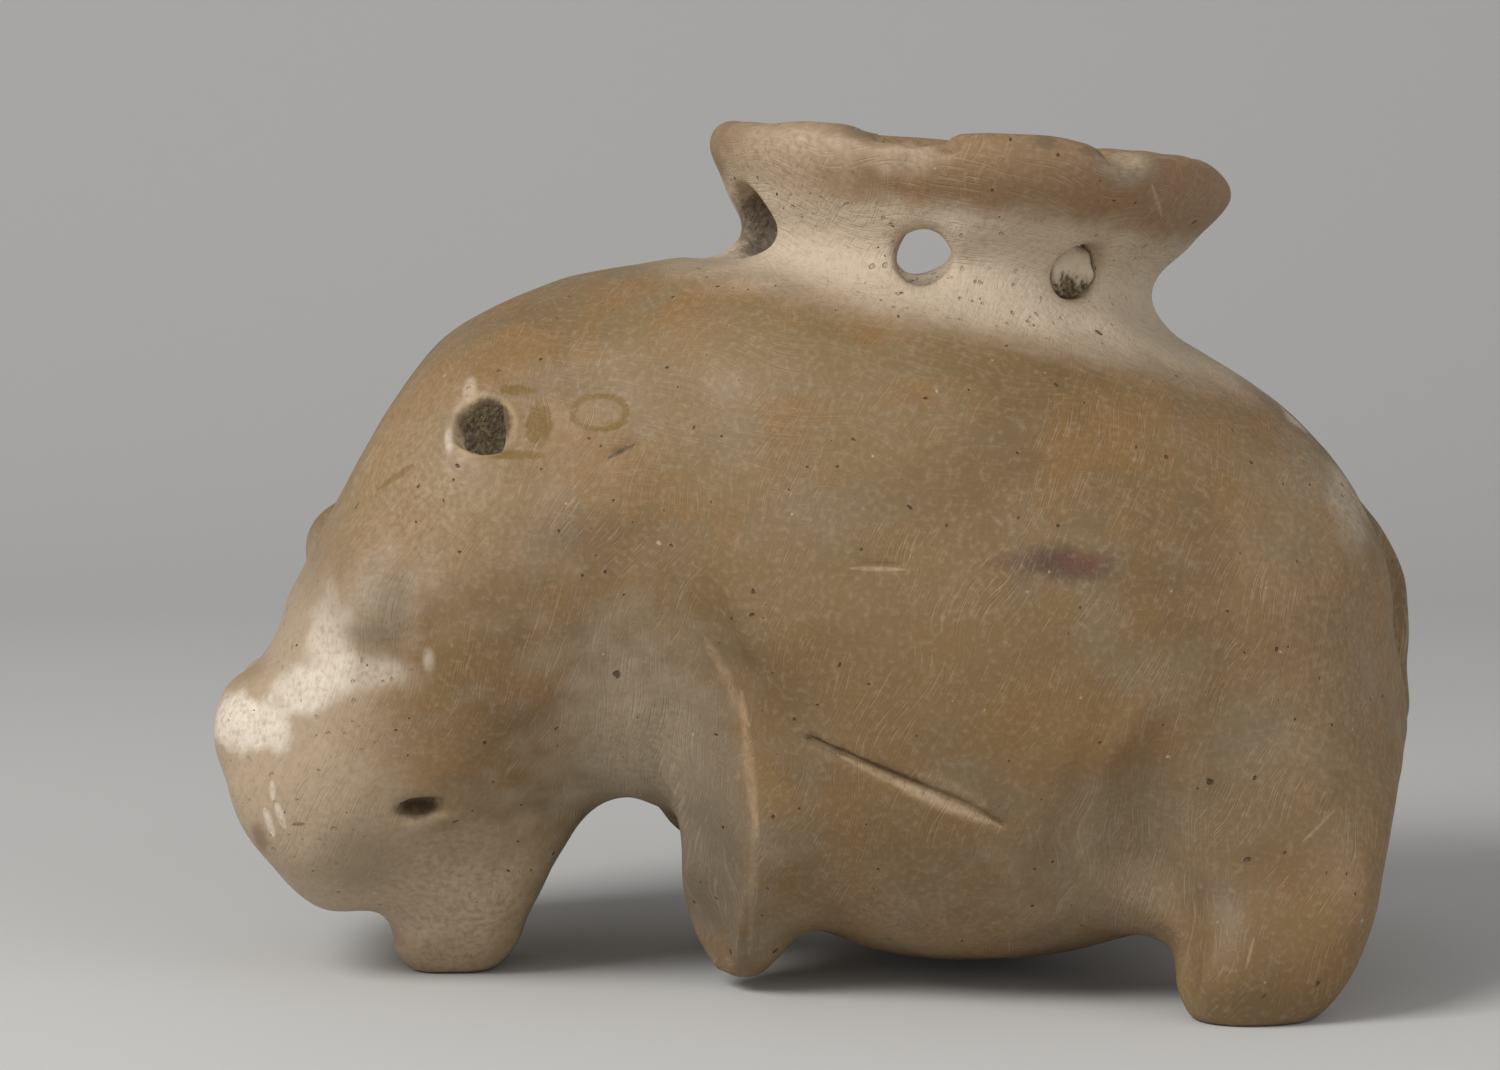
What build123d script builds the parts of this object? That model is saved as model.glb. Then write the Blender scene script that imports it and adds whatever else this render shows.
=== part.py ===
from build123d import *
from math import copysign, cos, pi, radians, sin, tan
import os

# A hippopotamus-shaped vessel, hand-built from clay members that are luted together.
# +X runs from the muzzle to the tail, +Y to the animal's right and +Z up. Millimetres.

# Trunk: a hollow barrel in two halves
TRUNK_FRONT_X = -27.0
TRUNK_LENGTH = 84.0
TRUNK_WIDTH = 72.0
TRUNK_HEIGHT = 65.3
TRUNK_WALL = 6.0
BELLY_CLEARANCE = 1.8

# Neck and rim on the back
NECK_SEAT_RADIUS = 23.0
NECK_SEAT_TILT = 8.6
NECK_WAIST_RADIUS = 20.6
NECK_WAIST_HEIGHT = 3.2
NECK_HEIGHT = 8.4
NECK_TOP_RADIUS = 23.2
NECK_LEAN = 12.9
THROAT_RADIUS = 15.2
RIM_HEIGHT = 7.1
RIM_RADIUS = 25.7
RIM_LIP_THICKNESS = 4.2
RIM_TILT = 4.2

# Suspension holes through the neck
CORD_HOLE_DIAMETER = 5.4
FRONT_CORD_HOLE_DIAMETER = 6.6
CORD_HOLE_HEIGHT = 4.5
FRONT_CORD_HOLE_ANGLE = 66.0
LEFT_CORD_HOLE_ANGLE = 8.4
RIGHT_CORD_HOLE_ANGLE = 3.5
REAR_CORD_HOLE_ANGLE = -36.0
PLUG_RECESS = 1.1
PLUG_LENGTH = 3.0

# Head and chin
HEAD_REACH = 32.4
HEAD_WIDTH = 53.0
CROWN_HEIGHT = 70.0
CHIN_SOLE_LENGTH = 8.6
CHIN_SOLE_WIDTH = 13.0

# Face details
EYE_SOCKET_DIAMETER = 6.0
EYE_SOCKET_DEPTH = 5.0
EYE_BEDDING_DEPTH = 3.6
BROW_RADIUS = 5.6
BROW_STANDS_PROUD = 2.2
NOSTRIL_RADIUS = 7.0
NOSTRIL_STANDS_PROUD = 2.0
MOUTH_CORNER_LENGTH = 4.2
MOUTH_CORNER_HEIGHT = 2.4
MOUTH_CORNER_DEPTH = 3.5

# Legs
FORELEG_TIP_LENGTH = 4.6
FORELEG_TIP_WIDTH = 4.6
FORELEG_TIP_CLEARANCE = 1.2
FORELEG_THIGH_LENGTH = 22.0
FORELEG_THIGH_WIDTH = 24.0
HIND_SOLE_LENGTH = 10.0
HIND_SOLE_WIDTH = 14.0
HIND_THIGH_LENGTH = 21.5
HIND_THIGH_WIDTH = 20.0

# Hollows scraped in front of the legs
FORELEG_SCRAPE_RADIUS = 9.6
HIND_LEG_SCRAPE_RADIUS = 9.0

# Tail
TAIL_WIDTH = 9.0
TAIL_STANDS_PROUD = 2.6
TAIL_TOP_HEIGHT = 48.0
TAIL_END_HEIGHT = 19.5
TAIL_ROOT_DEPTH = 7.0

OUTLINE_POINTS = 16
TRUNK_REAR_X = TRUNK_FRONT_X + TRUNK_LENGTH
FAR = TRUNK_LENGTH + TRUNK_WIDTH

# Trunk rings from the belly up, as shares of the trunk's length, height and width:
# front place, front height, rear place, rear height, width, then how square the front and the rear are.
# The two halves of the trunk were joined at its widest ring.
EQUATOR_RING = (0.065, 0.56, 0.995, 0.50, 1.00, 2.8, 3.5)
TRUNK_RINGS = [
    (0.39, 0.00, 0.61, 0.00, 0.22, 2.0, 2.0),
    (0.32, 0.04, 0.69, 0.04, 0.53, 2.2, 2.3),
    (0.20, 0.16, 0.84, 0.15, 0.79, 2.6, 3.0),
    (0.12, 0.34, 0.955, 0.31, 0.94, 2.8, 3.5),
    EQUATOR_RING,
    (0.025, 0.74, 0.98, 0.65, 0.97, 2.7, 3.1),
    (0.00, 0.92, 0.905, 0.80, 0.875, 2.5, 2.6),
    (0.06, 1.03, 0.805, 0.895, 0.735, 2.2, 2.2),
]

# Places on the trunk, as shares of its length or height
NECK_SEAT_PLACE = 0.465
FORELEG_HIP_PLACE = 0.56
HIND_HIP_PLACE = 0.46

# Head rings from the trunk to the muzzle, as shares of the head's reach beyond the trunk, the crown's
# height and the head's width: top reach, top height, bottom reach, bottom height, width.
HEAD_RINGS = [
    (-0.40, 0.965, -0.59, 0.29, 0.94),
    (-0.09, 0.99, -0.34, 0.25, 1.00),
    (0.17, 0.945, -0.17, 0.237, 0.98),
    (0.385, 0.86, -0.015, 0.207, 0.943),
    (0.555, 0.735, 0.155, 0.157, 0.887),
    (0.71, 0.607, 0.37, 0.114, 0.823),
    (0.833, 0.493, 0.586, 0.09, 0.755),
    (0.944, 0.407, 0.772, 0.123, 0.65),
    (1.00, 0.357, 0.91, 0.193, 0.434),
]
HEAD_SQUARENESS = 2.3

# Places on the head, as shares of its reach beyond the trunk and of the crown's height
EYE_PLACE = (0.14, 0.795)
LEFT_BROW_PLACE = (0.48, 0.55)
RIGHT_BROW_PLACE = (0.655, 0.607)
NOSTRIL_PLACE = (0.91, 0.385)
MOUTH_CORNER_PLACE = (0.345, 0.262)

# Chin rings from its sole up: share of the throat's height, reach beyond the trunk, and length and width
# as multiples of the sole's.
JAW_RINGS = [
    (0.0, 0.275, 1.0, 1.0),
    (0.24, 0.26, 1.65, 1.55),
    (0.6, 0.225, 2.35, 2.1),
    (1.2, 0.105, 2.75, 2.2),
]

# Leg rings from the foot up: share of the hip's height, place along the trunk, distance out from its middle,
# then length and width, of the foot in the first ring and of the thigh in the rest.
FORELEG_RINGS = [
    (0.0, 0.23, 0.397, 1.0, 1.0),
    (0.10, 0.236, 0.417, 0.48, 0.46),
    (0.29, 0.257, 0.472, 0.77, 0.75),
    (0.57, 0.287, 0.528, 1.0, 1.0),
    (1.0, 0.359, 0.542, 1.0, 0.8),
]
HIND_LEG_RINGS = [
    (0.0, 0.804, 0.722, 1.0, 1.0),
    (0.13, 0.818, 0.717, 0.78, 0.87),
    (0.38, 0.831, 0.70, 1.0, 1.0),
    (0.64, 0.837, 0.667, 1.0, 0.95),
    (1.0, 0.81, 0.583, 0.8, 0.75),
]

# Scrape rings from the ground up: share of the trunk's height, place along the trunk,
# distance out from the trunk's middle as a share of its half width.
FORELEG_SCRAPE_RINGS = [
    (-0.09, 0.107, 0.47),
    (0.0, 0.107, 0.55),
    (0.14, 0.11, 0.65),
    (0.25, 0.122, 0.79),
    (0.355, 0.136, 0.86),
    (0.48, 0.133, 0.93),
    (0.60, 0.113, 1.015),
    (0.74, 0.095, 1.11),
]
HIND_LEG_SCRAPE_RINGS = [
    (-0.03, 0.615, 0.78),
    (0.065, 0.62, 0.89),
    (0.17, 0.63, 0.985),
    (0.28, 0.645, 1.10),
    (0.40, 0.65, 1.20),
    (0.56, 0.65, 1.36),
]
SCRAPED_MEMBERS = (
    "belly_shell", "back_shell", "head", "lower_jaw",
    "left_foreleg", "right_foreleg", "left_hind_leg", "right_hind_leg",
)

# Tail rings from its end up: share of its length, how far it stands proud of the rump, width.
TAIL_RINGS = [(0.0, -0.5, 0.6), (0.18, 0.55, 0.9), (0.5, 1.0, 1.0), (0.72, 0.7, 0.9), (1.0, -1.6, 0.6)]


def section(start, end, half_width, start_power, end_power, middle_y=0.0):
    """Rounded oval wire whose long axis runs from start to end, two (x, z) points.

    A power of 2 makes an ellipse, and a larger one squares that end off.
    """
    along = Vector(end[0] - start[0], 0, end[1] - start[1])
    middle = Vector((start[0] + end[0]) / 2, middle_y, (start[1] + end[1]) / 2)
    plane = Plane(origin=middle, x_dir=along, z_dir=Vector(-along.Z, 0, along.X))
    points = []
    for step in range(OUTLINE_POINTS):
        turn = 2 * pi * step / OUTLINE_POINTS
        power = end_power if cos(turn) > 0 else start_power
        across = copysign(abs(cos(turn)) ** (2 / power), cos(turn)) * along.length / 2
        sideways = copysign(abs(sin(turn)) ** (2 / power), sin(turn)) * half_width
        points.append(plane.from_local_coords(Vector(across, sideways, 0)))
    return Wire([Edge.make_spline(points, periodic=True)])


def level_oval(middle, length, width, height, power=2.5):
    """Rounded oval wire, level at the given height, about middle (x, y)."""
    start = (middle[0] - length / 2, height)
    end = (middle[0] + length / 2, height)
    return section(start, end, width / 2, power, power, middle[1])


def mirrored(solid):
    """The same member on the animal's right side."""
    return mirror(solid, about=Plane.XZ)


def trunk_ring_ends(ring):
    """Front and rear (x, z) points of a trunk ring."""
    front = (TRUNK_FRONT_X + ring[0] * TRUNK_LENGTH, BELLY_CLEARANCE + ring[1] * TRUNK_HEIGHT)
    rear = (TRUNK_FRONT_X + ring[2] * TRUNK_LENGTH, BELLY_CLEARANCE + ring[3] * TRUNK_HEIGHT)
    return front, rear


def neck_ring(height, radius):
    """Round wire about the neck's leaning axis, at a height over the middle of its seat."""
    share = height / (NECK_HEIGHT + RIM_HEIGHT)
    tilt = radians(NECK_SEAT_TILT + (RIM_TILT - NECK_SEAT_TILT) * share)
    x, z = neck_middle(height)
    start = (x - radius * cos(tilt), z + radius * sin(tilt))
    end = (x + radius * cos(tilt), z - radius * sin(tilt))
    return section(start, end, radius, 2.0, 2.0)


def neck_middle(height):
    """(x, z) of the neck's axis at a height over the middle of its seat."""
    x = TRUNK_FRONT_X + NECK_SEAT_PLACE * TRUNK_LENGTH
    z = BELLY_CLEARANCE + TRUNK_HEIGHT
    return x + height * tan(radians(NECK_LEAN)), z + height


def trunk_form(inset):
    """The closed barrel of the trunk, drawn in by inset on every side."""
    wires = []
    for ring in TRUNK_RINGS:
        front, rear = trunk_ring_ends(ring)
        sink = inset * (1 - 2 * ring[1])
        start = (front[0] + inset, front[1] + sink)
        end = (rear[0] - inset, rear[1] + sink)
        wires.append(section(start, end, ring[4] * TRUNK_WIDTH / 2 - inset, ring[5], ring[6]))
    if inset == 0:
        wires.append(neck_ring(0, NECK_SEAT_RADIUS))
    return Solid.make_loft(wires)


def throat_form():
    """The way in, from inside the trunk to above the rim."""
    top = NECK_HEIGHT + RIM_HEIGHT
    wires = [
        neck_ring(-2 * TRUNK_WALL, THROAT_RADIUS),
        neck_ring(0, THROAT_RADIUS),
        neck_ring(NECK_WAIST_HEIGHT, THROAT_RADIUS),
        neck_ring(NECK_HEIGHT, THROAT_RADIUS + NECK_TOP_RADIUS - NECK_WAIST_RADIUS),
        neck_ring(top, RIM_RADIUS - RIM_LIP_THICKNESS),
    ]
    return Solid.make_loft(wires)


def equator_plane():
    """The plane in which the two halves of the trunk were joined."""
    front, rear = trunk_ring_ends(EQUATOR_RING)
    middle = ((front[0] + rear[0]) / 2, 0, (front[1] + rear[1]) / 2)
    return Plane(origin=middle, x_dir=(rear[0] - front[0], 0, rear[1] - front[1]),
                 z_dir=(front[1] - rear[1], 0, rear[0] - front[0]))


def head_point(place):
    """(x, z) of a place on the head given in shares."""
    return TRUNK_FRONT_X - place[0] * HEAD_REACH, place[1] * CROWN_HEIGHT


def head_form():
    """Forehead, cheeks and muzzle, with the root running into the trunk."""
    wires = []
    for top_reach, top_height, bottom_reach, bottom_height, width in HEAD_RINGS:
        top = head_point((top_reach, top_height))
        bottom = head_point((bottom_reach, bottom_height))
        wires.append(section(bottom, top, width * HEAD_WIDTH / 2, HEAD_SQUARENESS, HEAD_SQUARENESS))
    return Solid.make_loft(wires)


def surface_frame(solid, place, side):
    """Plane on the head's skin, where a crosswise line through place leaves it on one side."""
    x, z = head_point(place)
    hits = solid.find_intersection_points(Axis((x, 0, z), (0, side, 0)))
    point, normal = max(hits, key=lambda hit: side * hit[0].Y)
    if normal.Y * side < 0:
        normal = normal * -1
    return Plane(origin=point, x_dir=(1, 0, 0), z_dir=normal)


def knob(solid, place, side, radius, proud):
    """A ball sunk into the head so that its crown stands proud."""
    frame = surface_frame(solid, place, side)
    ball = Location(frame.origin - frame.z_dir * (radius - proud)) * Sphere(radius)
    return ball - solid


def jaw_form():
    """The chin, from its flat sole up into the head."""
    throat_height = CROWN_HEIGHT * HEAD_RINGS[2][3]
    wires = []
    for height, reach, length, width in JAW_RINGS:
        middle = (TRUNK_FRONT_X - reach * HEAD_REACH, 0)
        wires.append(level_oval(middle, length * CHIN_SOLE_LENGTH, width * CHIN_SOLE_WIDTH, height * throat_height))
    return Solid.make_loft(wires)


def left_leg_form(rings, foot_size, thigh_size, low, hip):
    """A stub that swells upward from its foot, at height low, to a root inside the trunk, at height hip."""
    wires = []
    for step, (height, place, out, length, width) in enumerate(rings):
        size = foot_size if step == 0 else thigh_size
        middle = (TRUNK_FRONT_X + place * TRUNK_LENGTH, -out * TRUNK_WIDTH / 2)
        wires.append(level_oval(middle, length * size[0], width * size[1], low + height * (hip - low)))
    return Solid.make_loft(wires)


def left_foreleg_form():
    """A short pointed foreleg that ends just over the ground."""
    hip = BELLY_CLEARANCE + FORELEG_HIP_PLACE * TRUNK_HEIGHT
    tip = (FORELEG_TIP_LENGTH, FORELEG_TIP_WIDTH)
    thigh = (FORELEG_THIGH_LENGTH, FORELEG_THIGH_WIDTH)
    return left_leg_form(FORELEG_RINGS, tip, thigh, FORELEG_TIP_CLEARANCE, hip)


def left_hind_leg_form():
    """A thick hind leg that stands on a flat sole."""
    hip = BELLY_CLEARANCE + HIND_HIP_PLACE * TRUNK_HEIGHT
    sole = (HIND_SOLE_LENGTH, HIND_SOLE_WIDTH)
    thigh = (HIND_THIGH_LENGTH, HIND_THIGH_WIDTH)
    return left_leg_form(HIND_LEG_RINGS, sole, thigh, 0, hip)


def left_scrape_form(rings, radius):
    """The path of a round scraper that is drawn up in front of a leg."""
    wires = []
    for height, place, out in rings:
        middle = (TRUNK_FRONT_X + place * TRUNK_LENGTH, -out * TRUNK_WIDTH / 2)
        wires.append(level_oval(middle, 2 * radius, 2 * radius, BELLY_CLEARANCE + height * TRUNK_HEIGHT, 2.0))
    return Solid.make_loft(wires)


def tail_form():
    """A strip that follows the rump, swelling from its root to its end, with its inner side in the trunk."""
    rump = TRUNK_REAR_X
    length = TAIL_TOP_HEIGHT - TAIL_END_HEIGHT
    wires = []
    for share, proud, width in TAIL_RINGS:
        start = (rump - TAIL_ROOT_DEPTH, TAIL_END_HEIGHT + share * length)
        end = (rump + proud * TAIL_STANDS_PROUD, TAIL_END_HEIGHT + share * length)
        wires.append(section(start, end, width * TAIL_WIDTH / 2, 2.5, 2.5))
    return Solid.make_loft(wires)


def cord_hole_frame(angle, side):
    """Plane on the neck's axis whose z runs out along a suspension hole. Angle 0 points square to a side."""
    x, z = neck_middle(CORD_HOLE_HEIGHT)
    tilt = radians(NECK_SEAT_TILT)
    turn = radians(angle)
    out = Vector(-sin(turn) * cos(tilt), side * cos(turn), sin(turn) * sin(tilt))
    return Plane(origin=(x, 0, z), x_dir=(0, 0, 1), z_dir=out)


def neck_wall(heights_and_radii):
    """A ring of the neck or rim, open along the throat."""
    return Solid.make_loft([neck_ring(height, radius) for height, radius in heights_and_radii]) - throat_form()


def build():
    """Every member of the vessel, by name, where it lies."""
    trunk = trunk_form(0)
    trunk_wall = trunk - trunk_form(TRUNK_WALL) - throat_form()
    equator = equator_plane()
    nodes = {
        "belly_shell": split(trunk_wall, equator, keep=Keep.BOTTOM),
        "back_shell": split(trunk_wall, equator, keep=Keep.TOP),
    }

    neck = neck_wall([
        (0, NECK_SEAT_RADIUS),
        (NECK_WAIST_HEIGHT / 2, (NECK_SEAT_RADIUS + 3 * NECK_WAIST_RADIUS) / 4),
        (NECK_WAIST_HEIGHT, NECK_WAIST_RADIUS),
        ((NECK_WAIST_HEIGHT + NECK_HEIGHT) / 2, (2 * NECK_WAIST_RADIUS + NECK_TOP_RADIUS) / 3),
        (NECK_HEIGHT, NECK_TOP_RADIUS),
    ])
    align_out = (Align.CENTER, Align.CENTER, Align.MIN)
    for side, side_angle in ((-1, LEFT_CORD_HOLE_ANGLE), (1, RIGHT_CORD_HOLE_ANGLE)):
        holes = [
            (FRONT_CORD_HOLE_ANGLE, FRONT_CORD_HOLE_DIAMETER),
            (side_angle, CORD_HOLE_DIAMETER),
            (REAR_CORD_HOLE_ANGLE, CORD_HOLE_DIAMETER),
        ]
        for angle, diameter in holes:
            neck -= cord_hole_frame(angle, side) * Cylinder(diameter / 2, FAR, align=align_out)
    nodes["neck_collar"] = neck
    nodes["rim_lip"] = neck_wall([
        (NECK_HEIGHT, NECK_TOP_RADIUS),
        (NECK_HEIGHT + 0.45 * RIM_HEIGHT, (NECK_TOP_RADIUS + 4 * RIM_RADIUS) / 5),
        (NECK_HEIGHT + 0.75 * RIM_HEIGHT, RIM_RADIUS),
        (NECK_HEIGHT + RIM_HEIGHT, RIM_RADIUS - 0.25 * RIM_LIP_THICKNESS),
    ])
    plug_start = NECK_WAIST_RADIUS - PLUG_RECESS - PLUG_LENGTH
    plug_frame = cord_hole_frame(REAR_CORD_HOLE_ANGLE, -1).offset(plug_start)
    nodes["hole_plug"] = plug_frame * Cylinder(CORD_HOLE_DIAMETER / 2, PLUG_LENGTH, align=align_out)

    head_whole = head_form()
    head = head_whole - trunk
    for side, name in ((-1, "left"), (1, "right")):
        eye = surface_frame(head_whole, EYE_PLACE, side)
        socket = Location(eye.offset(-EYE_SOCKET_DEPTH)) * Cylinder(
            EYE_SOCKET_DIAMETER / 2, 2 * EYE_SOCKET_DEPTH, align=align_out)
        head -= socket
        nodes[name + "_eye_bedding"] = Location(eye.offset(-EYE_SOCKET_DEPTH)) * Cylinder(
            EYE_SOCKET_DIAMETER / 2, EYE_BEDDING_DEPTH, align=align_out)
        corner = surface_frame(head_whole, MOUTH_CORNER_PLACE, side)
        slot = SlotOverall(MOUTH_CORNER_LENGTH, MOUTH_CORNER_HEIGHT)
        head -= extrude(corner.offset(-MOUTH_CORNER_DEPTH) * slot, 2 * MOUTH_CORNER_DEPTH)
        brow_place = LEFT_BROW_PLACE if side < 0 else RIGHT_BROW_PLACE
        nodes[name + "_brow"] = knob(head_whole, brow_place, side, BROW_RADIUS, BROW_STANDS_PROUD)
        nodes[name + "_nostril"] = knob(head_whole, NOSTRIL_PLACE, side, NOSTRIL_RADIUS, NOSTRIL_STANDS_PROUD)
    nodes["head"] = head
    nodes["lower_jaw"] = jaw_form() - head_whole - trunk

    foreleg = left_foreleg_form()
    nodes["left_foreleg"] = foreleg - trunk - head_whole
    nodes["right_foreleg"] = mirrored(foreleg) - trunk - head_whole
    hind_leg = left_hind_leg_form()
    nodes["left_hind_leg"] = hind_leg - trunk
    nodes["right_hind_leg"] = mirrored(hind_leg) - trunk
    nodes["tail"] = tail_form() - trunk

    for rings, radius in (
        (FORELEG_SCRAPE_RINGS, FORELEG_SCRAPE_RADIUS), (HIND_LEG_SCRAPE_RINGS, HIND_LEG_SCRAPE_RADIUS),
    ):
        scrape = left_scrape_form(rings, radius)
        for path in (scrape, mirrored(scrape)):
            for name in SCRAPED_MEMBERS:
                nodes[name] -= path
    return nodes


def centred(nodes):
    """The members moved along X so that the origin is under the middle of the whole."""
    boxes = [solid.bounding_box() for solid in nodes.values()]
    middle = (min(box.min.X for box in boxes) + max(box.max.X for box in boxes)) / 2
    return {name: Pos(-middle, 0, 0) * solid for name, solid in nodes.items()}


def main():
    os.makedirs("parts", exist_ok=True)
    for name, solid in centred(build()).items():
        export_step(solid, os.path.join("parts", name + ".step"))


if __name__ == "__main__":
    main()
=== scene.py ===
import math

import bpy
import numpy as np
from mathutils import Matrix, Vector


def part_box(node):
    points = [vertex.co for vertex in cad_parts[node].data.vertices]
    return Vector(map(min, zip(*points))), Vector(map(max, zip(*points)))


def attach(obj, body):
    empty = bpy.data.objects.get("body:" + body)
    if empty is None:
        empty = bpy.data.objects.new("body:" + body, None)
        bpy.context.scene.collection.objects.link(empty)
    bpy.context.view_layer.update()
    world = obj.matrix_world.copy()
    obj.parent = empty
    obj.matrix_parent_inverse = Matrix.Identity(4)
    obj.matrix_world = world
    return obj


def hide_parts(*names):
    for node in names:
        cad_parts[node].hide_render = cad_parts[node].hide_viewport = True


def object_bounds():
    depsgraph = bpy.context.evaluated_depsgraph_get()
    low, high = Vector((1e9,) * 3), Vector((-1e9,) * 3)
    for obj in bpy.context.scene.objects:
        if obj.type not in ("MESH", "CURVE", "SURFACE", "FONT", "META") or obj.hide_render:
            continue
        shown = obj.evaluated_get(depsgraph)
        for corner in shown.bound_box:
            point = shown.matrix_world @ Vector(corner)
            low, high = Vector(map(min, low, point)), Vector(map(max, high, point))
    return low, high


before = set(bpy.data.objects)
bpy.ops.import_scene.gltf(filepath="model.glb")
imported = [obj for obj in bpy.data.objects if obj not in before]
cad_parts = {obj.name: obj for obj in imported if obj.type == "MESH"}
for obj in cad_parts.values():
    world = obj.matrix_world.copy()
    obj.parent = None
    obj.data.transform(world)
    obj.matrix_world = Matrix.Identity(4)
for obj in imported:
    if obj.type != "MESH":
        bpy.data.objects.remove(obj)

import openvdb
from mathutils import Vector

bl_info = {
    "name": "Hippopotamus Askos",
    "version": (1, 0, 0),
    "blender": (4, 5, 0),
    "location": "View3D > Sidebar > Askos",
    "description": "Models the skin and finish of a hand-built clay vessel over its solids",
    "category": "Object",
}

# The solids are in metres. The clay is worked in millimetres: +X to the tail, -Y to the animal's left, +Z up.
MM = 0.001
CAD_BOX = [list(corner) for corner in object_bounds()]
LEFT, RIGHT = -1, 1

# Members in the order in which they are cut from the whole, small ones first. The last takes what is left.
CLAY_MEMBERS = [
    "left_brow", "right_brow", "left_nostril", "right_nostril", "tail",
    "left_foreleg", "right_foreleg", "left_hind_leg", "right_hind_leg",
    "lower_jaw", "rim_lip", "neck_collar", "head", "back_shell", "belly_shell",
]

# What each member is luted to, and how far the clay was drawn across that joint
TRUNK = ("belly_shell", "back_shell")
JOINTS = {
    "head": (TRUNK, 4.2), "neck_collar": (TRUNK, 1.3), "tail": (TRUNK, 0.7),
    "left_foreleg": (TRUNK, 2.4), "right_foreleg": (TRUNK, 2.4),
    "left_hind_leg": (TRUNK, 6.0), "right_hind_leg": (TRUNK, 6.0),
    "lower_jaw": (("head",), 2.4),
    "left_brow": (("head",), 1.0), "right_brow": (("head",), 1.0),
    "left_nostril": (("head",), 1.0), "right_nostril": (("head",), 1.0),
}
# Where the drawing ends and is full, in reaches from the joint, and the heights between which it sets in
JOINT_FADE = (2.6, 0.9)
SOLE_FADE = (2.0, 8.0)
THINNEST_WALL = 2.6

# How far the edge of each kind of cut is rounded off
SOFTNESS = {
    "hollow": 0.8, "gouge": 2.0, "leg hollow": 0.8, "sole": 0.4, "mouth corner": 0.3,
    "chip": 0.5, "groove": 0.3, "filling": 0.3,
}

# Unevenness that the hand left: seed, size across, and share of its set height
HAND_WAVES = [(3, 4.5, 1.0), (5, 1.4, 0.25)]
# Roughness where clay broke off: seed, size across and height
BREAK_WAVES = (7, 0.7, 0.3)

# Neck: X and Z of the middle of its seat on the back, and how the seat falls towards the tail
NECK_SEAT = (12.06, 67.1)
NECK_SEAT_FALL = math.tan(math.radians(8.6))

# Way in through the neck: X and Z of its ends from the middle of the seat, and its radius
THROAT_ENDS = [(-2, -10), (2, 8)]
THROAT_RADIUS = 15.0

# Gouges right across the vessel: X and Z of the middle, then the tool's radius
GOUGE_HALF_LENGTH = 40
CROSS_GOUGES = {
    "over the nose": (-57.8, 35.5, 4.4),
    "between lip and chin": (-44.6, 3.4, 2.7),
    "behind the chin": (-23.6, 3.6, 5.2),
    "behind the jaw": (-21.4, 8.4, 5.1),
    "under the throat": (-19.2, 12.4, 4.9),
}

# Clay pressed on: middle, radius, and how softly it runs into the rest
PELLETS = {
    "left brow": ((-41.5, -15.2, 38.6), 6.4, 3),
    "right brow": ((-47.4, 11, 41), 4.7, 2.5),
    "left nostril": ((-54.8, -8, 26.5), 4, 2),
    "right nostril": ((-54.8, 8, 26.5), 4, 2),
}

# Flats trimmed off: the way each faces in X and Z, how far out it lies, and how soft its edge is
RIM_REAR_TRIM = ((0.593, 0.805, 87.4), 2.0)
HIND_LEG_REAR_TRIM = ((0.952, -0.306, 47.3), 3.0)
HEEL_TRIM = ((0.55, -0.835, 26.4), 1.5)
# Clay spared on the rump over the hind legs, and the heights between which that sets in
RUMP_SPARED = 4
RUMP_HEIGHTS = (20, 28)

# Places where the skin stands out further, or less far: middle, reach and height
SWELLS = {
    "rim, tail end": ((41, 0, 76.5), 12, 1.2),
    "rim, left front": ((0, -20, 83.5), 10, 0.5),
    "rim, left": ((20, -23, 82.5), 12, 0.7),
    "side hole, top": ((9.4, -20.5, 75.2), 4, 0.9),
    "side hole, tail end": ((12.8, -20.5, 73.4), 3.5, 0.7),
    "tail's end": ((57.5, 0, 23.5), 8, 1),
    "muzzle, front": ((-59, -4, 21), 14, -0.7),
    "chin sole": ((-36, 0, 0), 9, 0.6),
    "belly, front": ((-12.5, 0, 13), 8, 1),
}
# The same on both sides, given for the left one
PAIRED_SWELLS = {
    "lip": ((-47.5, -9, 8.5), 7, 0.9),
    "chin, front": ((-41.5, -7, 2), 6, 0.9),
    "chin, back": ((-31, -7, 2), 6, 0.6),
    "shin": ((-12, -18, 11), 7, 0.8),
    "groin": ((29.5, -33.5, 25.5), 9, 0.9),
    "knee": ((38, -32, 6.5), 9, 1.9),
    "sole": ((44.5, -27, 0.5), 10, 1.4),
    "toe": ((37.5, -29, 1), 6, 0.8),
    "rump": ((54.5, -12, 23), 14, 4),
    "hock": ((53, -21.5, 20), 10, 2.6),
    "thigh": ((47, -30, 26), 13, 0.6),
    "heel": ((50.5, -25, 11), 13, 2.4),
}

# Hollow scraped before each hind leg, for the left one: points along it and the tool's radius
LEG_HOLLOW = [(28.6, -32.5, 3.0), (29.3, -34.2, 13.0), (30.6, -38.3, 21.0), (32.0, -42.4, 29.0)]
LEG_HOLLOW_RADIUS = 6.6

# Holes cut again after the wear: both ends of each, the tool's radius, and how soft its edges are
HOLES = {
    "left side of the neck": ([(10.2, -13, 71.0), (9.2, -26, 71.1)], 2.5, 0.5),
    "right side of the neck": ([(10.9, 13, 71.2), (10.5, 26, 71.3)], 2.5, 0.5),
    "left front of the neck": ([(-0.4, -6.1, 73.6), (-10.3, -10.5, 75.1)], 3.6, 0.5),
}

# Slot at each corner of the mouth, for the left one: points along it and the tool's radii
MOUTH_CORNER = [(-40.2, -20.6, 17.9), (-38.5, -19.7, 18.4), (-36.6, -20.3, 19.2)]
MOUTH_CORNER_RADII = (0.5, 1.1, 0.7)

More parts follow.
